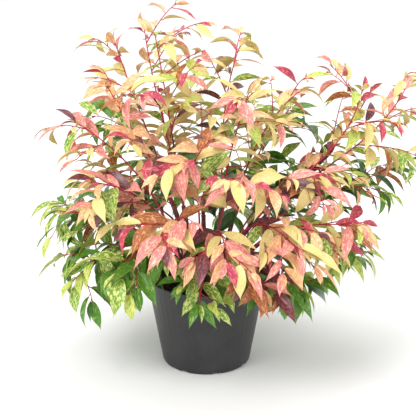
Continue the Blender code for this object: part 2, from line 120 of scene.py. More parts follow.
# Stems and twigs
STEM_SIDES = 7
STEM_SEGMENTS = 26
STEM_ROOT_RADIUS = 0.0017
STEM_TIP_RADIUS = 0.0008
STEM_BARE = 0.08
STEM_ROOT_SINK = 0.002
FORK_OFFSET = 0.0019
FORK_FOLLOW = 0.6
TWIG_SIDES = 5
TWIG_ROOT_RADIUS = 0.0011
TWIG_TIP_RADIUS = 0.0006
TWIG_SEGMENTS = 10
TWIG_BARE = 0.10
TWIG_START = 0.06
TWIG_LENGTH_SHARE = 0.60
TWIG_TAPER = 0.36
TWIG_SPLAY_DEG = 52.0
TWIG_SPLAY_RANGE_DEG = 16.0
TWIG_DROOP = 0.35
TWIG_TRIES = 10
TWIG_SHRINK = 0.5
EXTRA_TWIGS = 2
TWIG_SLACK = 0.004
TWIG_ROOT_AGE = 0.15
TWIG_AGE_GAIN = 0.55

# Leaves
LEAF_SPACING = 0.0115
LEAF_LIFE_SIZE = 1.0 / 1.10
LEAF_SPLAY_DEG = 56.0
LEAF_SPLAY_RANGE_DEG = 14.0
END_LEAF_SPLAY = 0.35
SIDE_TURN = 0.9
LEAF_OUTWARD = 0.25
LEAF_SAG = (0.00, 0.40)
LEAF_ROLL = 0.45
LEAF_BEND_DEG = (28.0, 82.0)
LEAF_TWIST_DEG = 26.0
LEAF_BEND_POWER = 1.3
LEAF_LENGTH_RANGE = (0.80, 1.12)
LEAF_SHRINK = 0.35
END_SHRINK = 0.30
TUFT_SIZES = (0.85, 0.60, 0.42)
LEAF_WIDTH_SHARE = (0.28, 0.37)
LEAF_FOLD = (0.22, 0.62)
LEAF_FLATTEN = 0.35
LEAF_WAVE = 0.05
LEAF_WAVES = 11.0
OUTLINE_SKEW = 0.80
OUTLINE_ROUND = 0.75
OUTLINE_TAPER = 1.0
LEAF_FOOT_SHARE = 0.02
LEAF_STATIONS = 13
LEAF_ACROSS = 5
LEAF_SLACK = 0.020
LEAF_TRIES = 6
LEAF_CHECKS = (2, 4, 5)
CHECK_STEPS = 6
MIDDLE_AGE = 0.33
YOUNG_AGE = 0.80
PETIOLE = 0.0045
PETIOLE_RADIUS = 0.0006
PETIOLE_SWELL = 1.2
PETIOLE_OVERLAP = 0.002
PETIOLE_SIDES = 4

# Clearances
GROUND_MARGIN = 0.0080
POT_MARGIN = 0.0030
BOX_MARGIN = 0.004
SPINE_POINTS = 40
SEED = 20
CHIP_SEED = 120

# Stage
FLOOR_HALF = 12.0
FLOOR_DROP = 0.0002
SURROUND_STRENGTH = 0.85

# Each light: name, place, what it points at, size and power
LIGHTS = (
    ("key", (-1.5, -1.9, 2.6), (0.0, 0.0, 0.28), 1.6, 75.0),
    ("fill", (2.2, -1.6, 1.4), (0.0, 0.0, 0.28), 1.8, 22.0),
    ("top", (0.2, 0.8, 2.8), (0.0, 0.0, 0.30), 1.5, 30.0),
)

UP = Vector((0.0, 0.0, 1.0))

Mass = namedtuple("Mass", "name tip elevation leaf twigs tone")
Cane = namedtuple("Cane", "name foot_azimuth foot_radius share masses")
Plan = namedtuple("Plan", "mass curve start tangent offset")
Leaf = namedtuple("Leaf", "root direction normal length width bend twist fold wave tone")

# Each cane: name, foot azimuth in degrees, foot radius, share of its curve that is bare, and its masses.
# Each mass: name, tip of its stem, elevation of the stem at the tip in degrees, leaf length, side twigs and
# tone.
# A second mass on a cane forks off where the first one begins.
CANES = (
    Cane("crest_twin", 205, 0.013, 0.30, (
        Mass("crest_twin_front", (-0.076, -0.020, 0.535), 80, 0.062, 4, "cream"),
        Mass("crest_twin_back", (-0.095, 0.060, 0.525), 78, 0.062, 4, "cream"),
    )),
    Cane("crest_left", 165, 0.020, 0.30, (
        Mass("crest_left_high", (-0.137, 0.030, 0.505), 72, 0.066, 3, "cream"),
        Mass("crest_left_low", (-0.143, -0.080, 0.470), 60, 0.068, 3, "pink"),
    )),
    Cane("left_upper", 188, 0.030, 0.28, (
        Mass("left_upper", (-0.195, -0.010, 0.395), 35, 0.074, 4, "pink"),
    )),
    Cane("top_centre", 30, 0.012, 0.30, (
        Mass("top_centre_high", (0.049, 0.030, 0.500), 68, 0.074, 3, "cream"),
        Mass("top_centre_low", (0.062, -0.060, 0.455), 62, 0.066, 3, "cream"),
    )),
    Cane("top_right", 24, 0.026, 0.28, (
        Mass("top_right", (0.140, 0.035, 0.430), 40, 0.070, 4, "cream"),
    )),
    Cane("crest_right", -6, 0.024, 0.30, (
        Mass("crest_right_front", (0.234, -0.015, 0.445), 80, 0.060, 4, "cream"),
        Mass("crest_right_back", (0.255, 0.080, 0.415), 60, 0.070, 4, "cream"),
    )),
    Cane("crest_far_right", 7, 0.036, 0.28, (
        Mass("crest_far_right", (0.305, 0.015, 0.445), 66, 0.068, 4, "cream"),
    )),
    Cane("left_mid", 218, 0.028, 0.26, (
        Mass("left_mid", (-0.165, -0.125, 0.340), 18, 0.078, 4, "pink"),
    )),
    Cane("centre_left", 255, 0.022, 0.26, (
        Mass("centre_left", (-0.025, -0.145, 0.380), 15, 0.080, 5, "pink"),
    )),
    Cane("centre_front", 288, 0.026, 0.26, (
        Mass("centre_front", (0.066, -0.165, 0.350), 5, 0.080, 5, "pink"),
    )),
    Cane("front_right_high", 326, 0.028, 0.26, (
        Mass("front_right_high", (0.170, -0.100, 0.345), 20, 0.078, 4, "pink"),
    )),
    Cane("front_right", 306, 0.040, 0.24, (
        Mass("front_right", (0.130, -0.190, 0.260), -25, 0.080, 5, "pink"),
        Mass("front_hem_right", (0.082, -0.165, 0.190), -40, 0.078, 3, "bronze"),
    )),
    Cane("front_left", 246, 0.042, 0.26, (
        Mass("front_left", (-0.068, -0.190, 0.275), -25, 0.080, 4, "pink"),
    )),
    Cane("front_low", 276, 0.042, 0.24, (
        Mass("front_low", (0.030, -0.205, 0.250), -35, 0.078, 5, "pink"),
        Mass("front_hem", (-0.010, -0.160, 0.165), -45, 0.074, 2, "green"),
    )),
    Cane("right_mid", 336, 0.042, 0.26, (
        Mass("right_mid", (0.215, -0.105, 0.265), 5, 0.080, 4, "cream"),
    )),
    Cane("right_arm", 14, 0.046, 0.28, (
        Mass("right_arm", (0.290, 0.070, 0.295), 22, 0.080, 4, "dark"),
    )),
    Cane("right_low", 355, 0.048, 0.28, (
        Mass("right_low", (0.228, -0.025, 0.185), -25, 0.082, 4, "green"),
    )),
    Cane("right_hem", 321, 0.048, 0.30, (
        Mass("right_hem", (0.140, -0.105, 0.165), -45, 0.085, 4, "dark"),
    )),
    Cane("left_arm", 184, 0.046, 0.26, (
        Mass("left_arm", (-0.230, -0.015, 0.255), 5, 0.080, 3, "green"),
        Mass("left_low", (-0.200, -0.085, 0.170), -38, 0.082, 3, "green"),
    )),
    Cane("left_hem", 222, 0.048, 0.26, (
        Mass("left_hem", (-0.135, -0.140, 0.200), -35, 0.080, 4, "green"),
    )),
    Cane("back_left", 140, 0.036, 0.28, (
        Mass("back_left_high", (-0.150, 0.130, 0.375), 35, 0.078, 4, "green"),
        Mass("back_left_low", (-0.205, 0.090, 0.215), -25, 0.080, 4, "dark"),
    )),
    Cane("back", 95, 0.034, 0.28, (
        Mass("back_high", (-0.010, 0.185, 0.385), 30, 0.078, 4, "cream"),
        Mass("back_low", (-0.060, 0.215, 0.220), -30, 0.080, 4, "green"),
    )),
    Cane("back_right", 50, 0.038, 0.28, (
        Mass("back_right_high", (0.135, 0.155, 0.370), 30, 0.078, 4, "green"),
        Mass("back_right_low", (0.115, 0.205, 0.215), -30, 0.080, 4, "dark"),
    )),
)

# Leaf tones: ground colour, fleck colour, share of flecks, roughness
LEAF_TONES = {
    "cream": ((0.830, 0.640, 0.270), (0.420, 0.560, 0.070), 0.30, 0.38),
    "yellow_green": ((0.640, 0.660, 0.160), (0.250, 0.430, 0.050), 0.42, 0.38),
    "peach": ((0.820, 0.420, 0.210), (0.850, 0.640, 0.330), 0.38, 0.36),
    "pink": ((0.740, 0.230, 0.210), (0.860, 0.520, 0.340), 0.36, 0.36),
    "rose": ((0.500, 0.045, 0.085), (0.760, 0.250, 0.240), 0.30, 0.34),
    "bronze": ((0.130, 0.032, 0.042), (0.330, 0.090, 0.075), 0.32, 0.30),
    "amber": ((0.430, 0.130, 0.040), (0.700, 0.380, 0.160), 0.34, 0.34),
    "marbled": ((0.150, 0.340, 0.030), (0.700, 0.690, 0.230), 0.44, 0.36),
    "green": ((0.080, 0.230, 0.018), (0.280, 0.440, 0.070), 0.26, 0.34),
    "dark": ((0.026, 0.095, 0.014), (0.075, 0.190, 0.030), 0.26, 0.30),
}

# Chances of each tone on old, middle and young leaves of a shoot, by the mass's tone
DEALS = {
    "pink": (
        {"green": 4, "marbled": 4, "dark": 2, "bronze": 2},
        {"peach": 5, "cream": 5, "pink": 3, "bronze": 2, "amber": 2, "marbled": 2},
        {"peach": 4, "pink": 5, "cream": 4, "rose": 2, "bronze": 1},
    ),
    "cream": (
        {"green": 5, "marbled": 4, "dark": 2},
        {"cream": 6, "yellow_green": 4, "peach": 3, "marbled": 2, "bronze": 1, "amber": 1},
        {"cream": 5, "peach": 3, "pink": 3, "rose": 2, "yellow_green": 2},
    ),
    "bronze": (
        {"green": 4, "dark": 3, "bronze": 2},
        {"bronze": 4, "amber": 3, "green": 3, "pink": 1},
        {"bronze": 3, "amber": 3, "pink": 2, "peach": 2},
    ),
    "green": (
        {"green": 4, "dark": 3, "marbled": 2},
        {"marbled": 5, "green": 4, "yellow_green": 1},
        {"marbled": 4, "yellow_green": 3, "green": 3},
    ),
    "dark": (
        {"dark": 5, "green": 3},
        {"green": 5, "dark": 2, "marbled": 3},
        {"green": 4, "marbled": 3, "yellow_green": 1, "amber": 1},
    ),
}


def wall_radius(height):
    """Outer radius of the pot's straight wall at a height."""
    return BASE_RADIUS + (RIM_RADIUS - BASE_RADIUS) * height / POT_HEIGHT


def bezier(points, share):
    """Point of a cubic Bezier curve at a share of its run."""
    a, b, c, d = points
    rest = 1.0 - share
    return rest ** 3 * a + 3 * rest * rest * share * b + 3 * rest * share * share * c + share ** 3 * d


def sample(points, start, end, steps):
    return [bezier(points, start + (end - start) * k / steps) for k in range(steps + 1)]


def tip_direction(origin, mass):
    """Direction of a stem at its tip, from its azimuth and elevation."""
    away = Vector(mass.tip) - origin
    azimuth = math.atan2(away.y, away.x)
    level = math.cos(math.radians(mass.elevation))
    return Vector((
        level * math.cos(azimuth),
        level * math.sin(azimuth),
        math.sin(math.radians(mass.elevation)),
    ))


def shoot_curve(cane, mass):
    """The whole curve of a cane and its first mass, from the soil to the stem's tip."""
    azimuth = math.radians(cane.foot_azimuth)
    outward = Vector((math.cos(azimuth), math.sin(azimuth), 0.0))
    foot = outward * cane.foot_radius + UP * (SOIL_TOP + GAP)
    tip = Vector(mass.tip)
    chord = (tip - foot).length
    droop = max(0.0, -math.sin(math.radians(mass.elevation)))
    rise = foot + (UP + outward * RISE_LEAN) * chord * (RISE_SHARE + ARCH_GAIN * droop)
    reach = tip - tip_direction(foot, mass) * chord * REACH_SHARE
    return [foot, rise, reach, tip]


def fork_curve(start, tangent, mass):
    """The curve of a mass that forks off a cane's tip."""
    tip = Vector(mass.tip)
    chord = (tip - start).length
    ahead = (tip - start).normalized()
    lean = (tangent * FORK_FOLLOW + ahead * (1.0 - FORK_FOLLOW)).normalized()
    reach = chord * REACH_SHARE
    return [start, start + lean * reach, tip - tip_direction(start, mass) * reach, tip]


def frames(path):
    """Tangent and two cross directions at each point of a path, turning as little as possible along it."""
    tangents = []
    for k in range(len(path)):
        before = path[max(k - 1, 0)]
        after = path[min(k + 1, len(path) - 1)]
        tangents.append((after - before).normalized())
    side = tangents[-1].cross(UP)
    if side.length < 0.05:
        side = tangents[-1].cross(Vector((1.0, 0.0, 0.0)))
    result = []
    for tangent in tangents:
        side = (side - tangent * side.dot(tangent)).normalized()
        result.append((tangent, side, tangent.cross(side)))
    return result


def add_tube(store, path, radii, sides, relief=0.0):
    """Adds a capped tube to a store of (vertices, faces), with an optional bark relief."""
    vertices, faces = store
    start = len(vertices)
    for k, (point, (tangent, side, other)) in enumerate(zip(path, frames(path))):
        for j in range(sides):
            angle = 2.0 * math.pi * j / sides
            radius = radii[k]
            if relief:
                place = point * BARK_GRAIN + Vector((math.cos(angle), math.sin(angle), 0.0)) * BARK_RIDGES
                radius *= 1.0 + relief * noise.noise(place)
            vertices.append(point + (side * math.cos(angle) + other * math.sin(angle)) * radius)
    last = len(path) - 1
    for k in range(last):
        lower = start + k * sides
        upper = lower + sides
        for j in range(sides):
            n = (j + 1) % sides
            faces.append((lower + j, lower + n, upper + n, upper + j))
    faces.append(tuple(start + j for j in range(sides - 1, -1, -1)))
    faces.append(tuple(start + last * sides + j for j in range(sides)))


def make_piece(name, store, material, smooth=True):
    """A mesh object from a store, which rides on the root body."""
    mesh = bpy.data.meshes.new(name)
    mesh.from_pydata([tuple(v) for v in store[0]], [], store[1])
    mesh.materials.append(material)
    if smooth:
        mesh.shade_smooth()
    item = bpy.data.objects.new(name, mesh)
    bpy.context.scene.collection.objects.link(item)
    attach(item, "root")
    return item


def spread(path, spacing, start_share):
    """Evenly spaced places along a path: (point, tangent, share)."""
    lengths = [(b - a).length for a, b in zip(path, path[1:])]
    total = sum(lengths)
    count = max(1, int(total * (1.0 - start_share) / spacing))
    places = []
    for k in range(count):
        share = start_share + (1.0 - start_share) * (k + 0.5) / count
        target = share * total
        for a, b, piece in zip(path, path[1:], lengths):
            if target <= piece:
                places.append((a + (b - a) * (target / piece), (b - a).normalized(), share))
                break
            target -= piece
    return places


def side_of(tangent, sign, turn):
    """A direction square to the stem: left or right of it, turned round it a little."""
    side = tangent.cross(UP)
    if side.length < 0.30:
        side = Vector((math.cos(turn * 3.0), math.sin(turn * 3.0), 0.0))
        side = side - tangent * side.dot(tangent)
    side = side.normalized() * sign
    other = tangent.cross(side)
    return side * math.cos(turn) + other * math.sin(turn)


class Space:
    """Keeps each mass near its own stem, above the ground, clear of the pot and inside the CAD box."""

    def __init__(self, spines):
        self.names = list(spines)
        self.points = {name: np.array([tuple(p) for p in spines[name]]) for name in spines}
        everything = [(name, p) for name in spines for p in self.points[name]]
        self.owner = np.array([self.names.index(name) for name, p in everything])
        self.cloud = np.array([p for name, p in everything])

    @staticmethod
    def inside_pot(point):
        if point.z > POT_HEIGHT + POT_MARGIN:
            return False
        wall = wall_radius(point.z)
        radius = math.hypot(point.x, point.y)
        if point.z > SOIL_TOP + POT_MARGIN:
            return wall - WALL - POT_MARGIN < radius < wall + POT_MARGIN
        return radius < wall + POT_MARGIN

    def holds(self, name, points, slack):
        """Whether the points are nearer to the mass's own stem than to any other, give or take the slack."""
        index = self.names.index(name)
        for point in points:
            if point.z < GROUND_MARGIN or self.inside_pot(point):
                return False
            low, high = CAD_BOX
            if not all(low[k] - BOX_MARGIN < point[k] < high[k] + BOX_MARGIN for k in range(3)):
                return False
            distances = np.linalg.norm(self.cloud - np.array(tuple(point)), axis=1)
            own = distances[self.owner == index].min()
            if own > distances.min() + slack:
                return False
        return True


def deal_tone(mass_tone, age, rng):
    """A leaf's tone, dealt by its shoot's tone and its place from old (0) to young (1)."""
    old, middle, young = DEALS[mass_tone]
    if age < MIDDLE_AGE:
        chances = old
    elif age < YOUNG_AGE:
        chances = middle
    else:
        chances = young
    return rng.choices(list(chances), weights=list(chances.values()))[0]


def midrib_points(leaf):
    """Points half way along, near the tip and at the tip of a bending leaf."""
    points = []
    position = Vector(leaf.root)
    for k in range(CHECK_STEPS):
        angle = leaf.bend * ((k + 0.5) / CHECK_STEPS) ** LEAF_BEND_POWER
        ahead = leaf.direction * math.cos(angle) - leaf.normal * math.sin(angle)
        position = position + ahead * leaf.length / CHECK_STEPS
        if k in LEAF_CHECKS:
            points.append(position.copy())
    return points


def try_leaf(mass, point, tangent, share, sign, terminal, size, age, rng):
    """One leaf at a place on a stem, on the given side of it."""
    splay = math.radians(LEAF_SPLAY_DEG + rng.uniform(-LEAF_SPLAY_RANGE_DEG, LEAF_SPLAY_RANGE_DEG))
    if terminal:
        splay *= END_LEAF_SPLAY
    side = side_of(tangent, sign, rng.uniform(-SIDE_TURN, SIDE_TURN))
    outward = Vector((point.x, point.y, 0.0)).normalized()
    direction = tangent * math.cos(splay) + side * math.sin(splay)
    direction = (direction + outward * LEAF_OUTWARD - UP * rng.uniform(*LEAF_SAG)).normalized()
    normal = UP * 0.8 + outward * 0.6
    normal = (normal - direction * normal.dot(direction)).normalized()
    roll = rng.uniform(-LEAF_ROLL, LEAF_ROLL)
    normal = normal * math.cos(roll) + direction.cross(normal) * math.sin(roll)
    length = mass.leaf * LEAF_LIFE_SIZE * size * rng.uniform(*LEAF_LENGTH_RANGE)
    length *= 1.0 - END_SHRINK * share ** 3
    width = length * rng.uniform(*LEAF_WIDTH_SHARE)
    bend = math.radians(rng.uniform(*LEAF_BEND_DEG))
    twist = math.radians(rng.uniform(-LEAF_TWIST_DEG, LEAF_TWIST_DEG))
    root = point + direction * PETIOLE
    tone = deal_tone(mass.tone, age, rng)
    fold = rng.uniform(*LEAF_FOLD)
    wave = rng.random()
    return Leaf(root, direction, normal, length, width, bend, twist, fold, wave, tone)


def grow_leaves(mass, path, bare_share, base_age, rng, space, leaves, petioles):
    """Alternate leaves along a stem or twig, each drooping, with a tuft of young ones at the tip."""
    places = spread(path, LEAF_SPACING, bare_share)
    end = (path[-1] - path[-2]).normalized()
    places += [(path[-1], end, 1.0)] * len(TUFT_SIZES)
    sign = rng.choice((-1, 1))
    for index, (point, tangent, share) in enumerate(places):
        sign = -sign
        tuft_index = index - len(places) + len(TUFT_SIZES)
        terminal = tuft_index >= 0
        age = base_age + (1.0 - base_age) * share
        for attempt in range(LEAF_TRIES):
            size = 1.0 - LEAF_SHRINK * attempt / LEAF_TRIES
            if terminal:
                size *= TUFT_SIZES[tuft_index]
            leaf = try_leaf(mass, point, tangent, share, sign, terminal, size, age, rng)
            if space.holds(mass.name, midrib_points(leaf), LEAF_SLACK):
                leaves.append(leaf)
                radii = [PETIOLE_RADIUS * PETIOLE_SWELL, PETIOLE_RADIUS]
                end_point = leaf.root + leaf.direction * PETIOLE_OVERLAP
                add_tube(petioles, [point, end_point], radii, PETIOLE_SIDES)
                break


def try_twig(point, tangent, share, sign, length, size, rng):
    """The path of one side twig, which leaves the stem and then droops."""
    side = side_of(tangent, sign, rng.uniform(-SIDE_TURN, SIDE_TURN))
    splay = math.radians(TWIG_SPLAY_DEG + rng.uniform(-TWIG_SPLAY_RANGE_DEG, TWIG_SPLAY_RANGE_DEG))
    direction = (tangent * math.cos(splay) + side * math.sin(splay)).normalized()
    half = length * (TWIG_LENGTH_SHARE - TWIG_TAPER * share) * size / 2.0
    middle = point + direction * half
    end = middle + (direction - UP * TWIG_DROOP).normalized() * half
    early = point + direction * half * 0.7
    late = middle + (middle - point).normalized() * half * 0.35
    return sample([point, early, late, end], 0.0, 1.0, TWIG_SEGMENTS)


def taper(root_radius, tip_radius, segments):
    return [root_radius + (tip_radius - root_radius) * k / segments for k in range(segments + 1)]


def grow_twigs(plan, rng, space, store):
    """A mass's stem and its side twigs, as (path, age of its root) pairs."""
    path = sample(plan.curve, plan.start, 1.0, STEM_SEGMENTS)
    path = [point + plan.offset * (1.0 - k / STEM_SEGMENTS) for k, point in enumerate(path)]
    path[0] = path[0] - plan.tangent * STEM_ROOT_SINK
    add_tube(store, path, taper(STEM_ROOT_RADIUS, STEM_TIP_RADIUS, STEM_SEGMENTS), STEM_SIDES)
    branches = [(path, 0.0)]
    length = sum((b - a).length for a, b in zip(path, path[1:]))
    spacing = length * (1.0 - TWIG_START) / (plan.mass.twigs + EXTRA_TWIGS + 0.5)
    sign = rng.choice((-1, 1))
    for point, tangent, share in spread(path, spacing, TWIG_START):
        sign = -sign
        for attempt in range(TWIG_TRIES):
            size = 1.0 - TWIG_SHRINK * attempt / TWIG_TRIES
            twig = try_twig(point, tangent, share, sign, length, size, rng)
            if space.holds(plan.mass.name, twig[3::3], TWIG_SLACK):
                add_tube(store, twig, taper(TWIG_ROOT_RADIUS, TWIG_TIP_RADIUS, TWIG_SEGMENTS), TWIG_SIDES)
                branches.append((twig, TWIG_ROOT_AGE + TWIG_AGE_GAIN * share))
                break
    return branches


def make_cane(cane, store):
    """One cane's bark mesh, swollen at each leaf scar, and the plans of its masses."""
    first = cane.masses[0]
    curve = shoot_curve(cane, first)
    path = sample(curve, 0.0, cane.share, CANE_SEGMENTS)
    path[0] = path[0] - UP * CANE_FOOT_SINK
    tangent = (bezier(curve, cane.share + 0.01) - bezier(curve, cane.share - 0.01)).normalized()
    forked = len(cane.masses) > 1
    foot_radius = FORKED_FOOT_RADIUS if forked else CANE_FOOT_RADIUS
    tip_radius = FORKED_TIP_RADIUS if forked else CANE_TIP_RADIUS
    length = sum((b - a).length for a, b in zip(path, path[1:]))
    radii = []
    for k, radius in enumerate(taper(foot_radius, tip_radius, CANE_SEGMENTS)):
        along = length * k / CANE_SEGMENTS
        swell = max(0.0, math.cos(2.0 * math.pi * along / SCAR_SPACING)) ** SCAR_SHARPNESS
        radii.append(radius * (1.0 + SCAR_SWELL * swell))
    add_tube(store, path, radii, CANE_SIDES, relief=BARK_RELIEF)
    if not forked:
        return [Plan(first, curve, cane.share, tangent, Vector((0.0, 0.0, 0.0)))]
    second = cane.masses[1]
    toward = Vector(second.tip) - Vector(first.tip)
    offset = (toward - tangent * toward.dot(tangent)).normalized() * FORK_OFFSET
    return [
        Plan(first, curve, cane.share, tangent, -offset),
        Plan(second, fork_curve(path[-1], tangent, second), 0.0, tangent, offset),
    ]


def spine(plan):
    """Close points along a mass's stem, which mark the middle of its space."""
    points = sample(plan.curve, plan.start, 1.0, SPINE_POINTS)
    return [point + plan.offset * (1.0 - k / SPINE_POINTS) for k, point in enumerate(points)]


def leaf_arrays(leaves):
    """Vertices, faces and UVs of many leaves, each folded at its midrib, arched, twisted and drip-tipped."""
    count = len(leaves)
    root = np.array([tuple(leaf.root) for leaf in leaves])
    direction = np.array([tuple(leaf.direction) for leaf in leaves])
    normal = np.array([tuple(leaf.normal) for leaf in leaves])
    side = np.cross(direction, normal)
    length = np.array([leaf.length for leaf in leaves])
    width = np.array([leaf.width for leaf in leaves])
    bend = np.array([leaf.bend for leaf in leaves])
    twist = np.array([leaf.twist for leaf in leaves])
    fold = np.array([leaf.fold for leaf in leaves])
    phase = np.array([leaf.wave for leaf in leaves]) * 2.0 * math.pi
    shares = np.linspace(0.0, 1.0, LEAF_STATIONS)
    across = np.linspace(-1.0, 1.0, LEAF_ACROSS)
    half_width = np.sin(math.pi * shares ** OUTLINE_SKEW) ** (OUTLINE_ROUND + OUTLINE_TAPER * shares)
    half_width[0] = LEAF_FOOT_SHARE
    half_width[-1] = 0.0
    vertices = np.zeros((count, LEAF_STATIONS, LEAF_ACROSS, 3))
    midrib = root.copy()
    for k, share in enumerate(shares):
        angle = bend * share ** LEAF_BEND_POWER
        if k:
            middle = bend * ((shares[k - 1] + share) / 2.0) ** LEAF_BEND_POWER
            step = direction * np.cos(middle)[:, None] - normal * np.sin(middle)[:, None]
            midrib = midrib + step * (length / (LEAF_STATIONS - 1))[:, None]
        ahead = direction * np.cos(angle)[:, None] - normal * np.sin(angle)[:, None]
        above = normal * np.cos(angle)[:, None] + direction * np.sin(angle)[:, None]
        turn = twist * share
        beside = side * np.cos(turn)[:, None] + above * np.sin(turn)[:, None]
        above = np.cross(beside, ahead)
        half = width * 0.5 * half_width[k]
        for j, place in enumerate(across):
            wave = LEAF_WAVE * np.sin(phase + share * LEAF_WAVES + place) * abs(place)
            rise = half * (fold * abs(place) ** 1.2 * (1.0 - LEAF_FLATTEN * share) + wave)
            reach = half * place * np.cos(fold * 0.6)
            vertices[:, k, j] = midrib + beside * reach[:, None] + above * rise[:, None]
    index = np.arange(count * LEAF_STATIONS * LEAF_ACROSS).reshape(count, LEAF_STATIONS, LEAF_ACROSS)
    quads = np.stack([
        index[:, :-1, :-1], index[:, :-1, 1:], index[:, 1:, 1:], index[:, 1:, :-1],
    ], axis=-1).reshape(-1, 4)
    u = np.broadcast_to(shares[None, :, None], index.shape) * length[:, None, None] * 1000.0
    v = np.broadcast_to(across[None, None, :], index.shape) * (width * 500.0)[:, None, None]
    shift = np.arange(count)[:, None, None] * 37.0
    uv = np.stack([u + shift, v + shift * 0.37], axis=-1).reshape(-1, 2)
    return vertices.reshape(-1, 3), quads, uv


def leaf_piece(name, leaves, material):
    """All leaves of one tone, joined."""
    vertices, quads, uv = leaf_arrays(leaves)
    mesh = bpy.data.meshes.new(name)
    mesh.vertices.add(len(vertices))
    mesh.vertices.foreach_set("co", vertices.astype(np.float32).ravel())
    mesh.loops.add(len(quads) * 4)
    mesh.loops.foreach_set("vertex_index", quads.astype(np.int32).ravel())
    mesh.polygons.add(len(quads))
    mesh.polygons.foreach_set("loop_start", np.arange(0, len(quads) * 4, 4, dtype=np.int32))
    mesh.polygons.foreach_set("loop_total", np.full(len(quads), 4, dtype=np.int32))
    layer = mesh.uv_layers.new(name="UVMap")
    layer.data.foreach_set("uv", uv[quads.ravel()].astype(np.float32).ravel())
    mesh.update()
    mesh.validate()
    mesh.shade_smooth()
    mesh.materials.append(material)
    item = bpy.data.objects.new(name, mesh)
    bpy.context.scene.collection.objects.link(item)
    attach(item, "root")
    return item


def new_material(name, color, roughness):
    material = bpy.data.materials.new(name)
    material.use_nodes = True
    shader = material.node_tree.nodes["Principled BSDF"]
    shader.inputs["Base Color"].default_value = (*color, 1.0)
    shader.inputs["Roughness"].default_value = roughness
    material.diffuse_color = (*color, 1.0)
    return material, material.node_tree, shader


def add_node(tree, kind, **inputs):
    node = tree.nodes.new(kind)
    for name, value in inputs.items():
        node.inputs[name.replace("_", " ")].default_value = value
    return node


def ramp_node(tree, stops):
    node = tree.nodes.new("ShaderNodeValToRGB")
    ramp = node.color_ramp
    while len(ramp.elements) < len(stops):
        ramp.elements.new(0.5)
    for element, (place, color) in zip(ramp.elements, stops):
        element.position = place
        element.color = (*color, 1.0)
    return node


def leaf_material(name):
    """Marbled leaf: flecks stretched along the blade over a ground colour, a fine relief and a soft gloss."""
    ground, fleck, share, roughness = LEAF_TONES[name]
    material, tree, shader = new_material("leaf_" + name, ground, roughness)
    place = tree.nodes.new("ShaderNodeUVMap")
    place.uv_map = "UVMap"
    stretch = tree.nodes.new("ShaderNodeMapping")
    stretch.inputs["Scale"].default_value = (0.16, 0.42, 1.0)
    marbling = add_node(tree, "ShaderNodeTexNoise", Scale=1.0, Detail=3.0, Roughness=0.6, Distortion=0.6)
    edge = 0.5 + (0.5 - share) * 0.42
    shade = [channel * 0.80 for channel in ground]
    ramp = ramp_node(tree, [(edge - 0.16, shade), (edge - 0.03, ground), (edge + 0.03, fleck)])
    tree.links.new(place.outputs["UV"], stretch.inputs["Vector"])
    tree.links.new(stretch.outputs["Vector"], marbling.inputs["Vector"])
    tree.links.new(marbling.outputs["Fac"], ramp.inputs["Fac"])
    tree.links.new(ramp.outputs["Color"], shader.inputs["Base Color"])
    veins = add_node(tree, "ShaderNodeTexNoise", Scale=2.4, Detail=2.0, Roughness=0.5)
    bump = add_node(tree, "ShaderNodeBump", Strength=0.25, Distance=0.0004)
    tree.links.new(place.outputs["UV"], veins.inputs["Vector"])
    tree.links.new(veins.outputs["Fac"], bump.inputs["Height"])
    tree.links.new(bump.outputs["Normal"], shader.inputs["Normal"])
    shader.inputs["Specular IOR Level"].default_value = 0.45
    return material


def bark_material():
    """Young bark: crimson brown with darker streaks and a fine relief."""
    material, tree, shader = new_material("bark", (0.20, 0.04, 0.04), 0.55)
    place = tree.nodes.new("ShaderNodeTexCoord")
    streaks = add_node(tree, "ShaderNodeTexNoise", Scale=180.0, Detail=4.0, Roughness=0.6)
    ramp = ramp_node(tree, [
        (0.35, (0.075, 0.022, 0.018)),
        (0.55, (0.215, 0.045, 0.040)),
        (0.75, (0.30, 0.12, 0.07)),
    ])
    tree.links.new(place.outputs["Object"], streaks.inputs["Vector"])
    tree.links.new(streaks.outputs["Fac"], ramp.inputs["Fac"])
    tree.links.new(ramp.outputs["Color"], shader.inputs["Base Color"])
    bump = add_node(tree, "ShaderNodeBump", Strength=0.5, Distance=0.0005)
    tree.links.new(streaks.outputs["Fac"], bump.inputs["Height"])
    tree.links.new(bump.outputs["Normal"], shader.inputs["Normal"])
    return material


def stem_material():
    """Glossy crimson of new stems, a little uneven."""
    material, tree, shader = new_material("stem", (0.45, 0.025, 0.05), 0.38)
    place = tree.nodes.new("ShaderNodeTexCoord")
    patches = add_node(tree, "ShaderNodeTexNoise", Scale=45.0, Detail=2.0, Roughness=0.5)
    ramp = ramp_node(tree, [
        (0.35, (0.260, 0.018, 0.030)),
        (0.60, (0.520, 0.030, 0.060)),
        (0.80, (0.62, 0.09, 0.08)),
    ])
    tree.links.new(place.outputs["Object"], patches.inputs["Vector"])
    tree.links.new(patches.outputs["Fac"], ramp.inputs["Fac"])
    tree.links.new(ramp.outputs["Color"], shader.inputs["Base Color"])
    return material


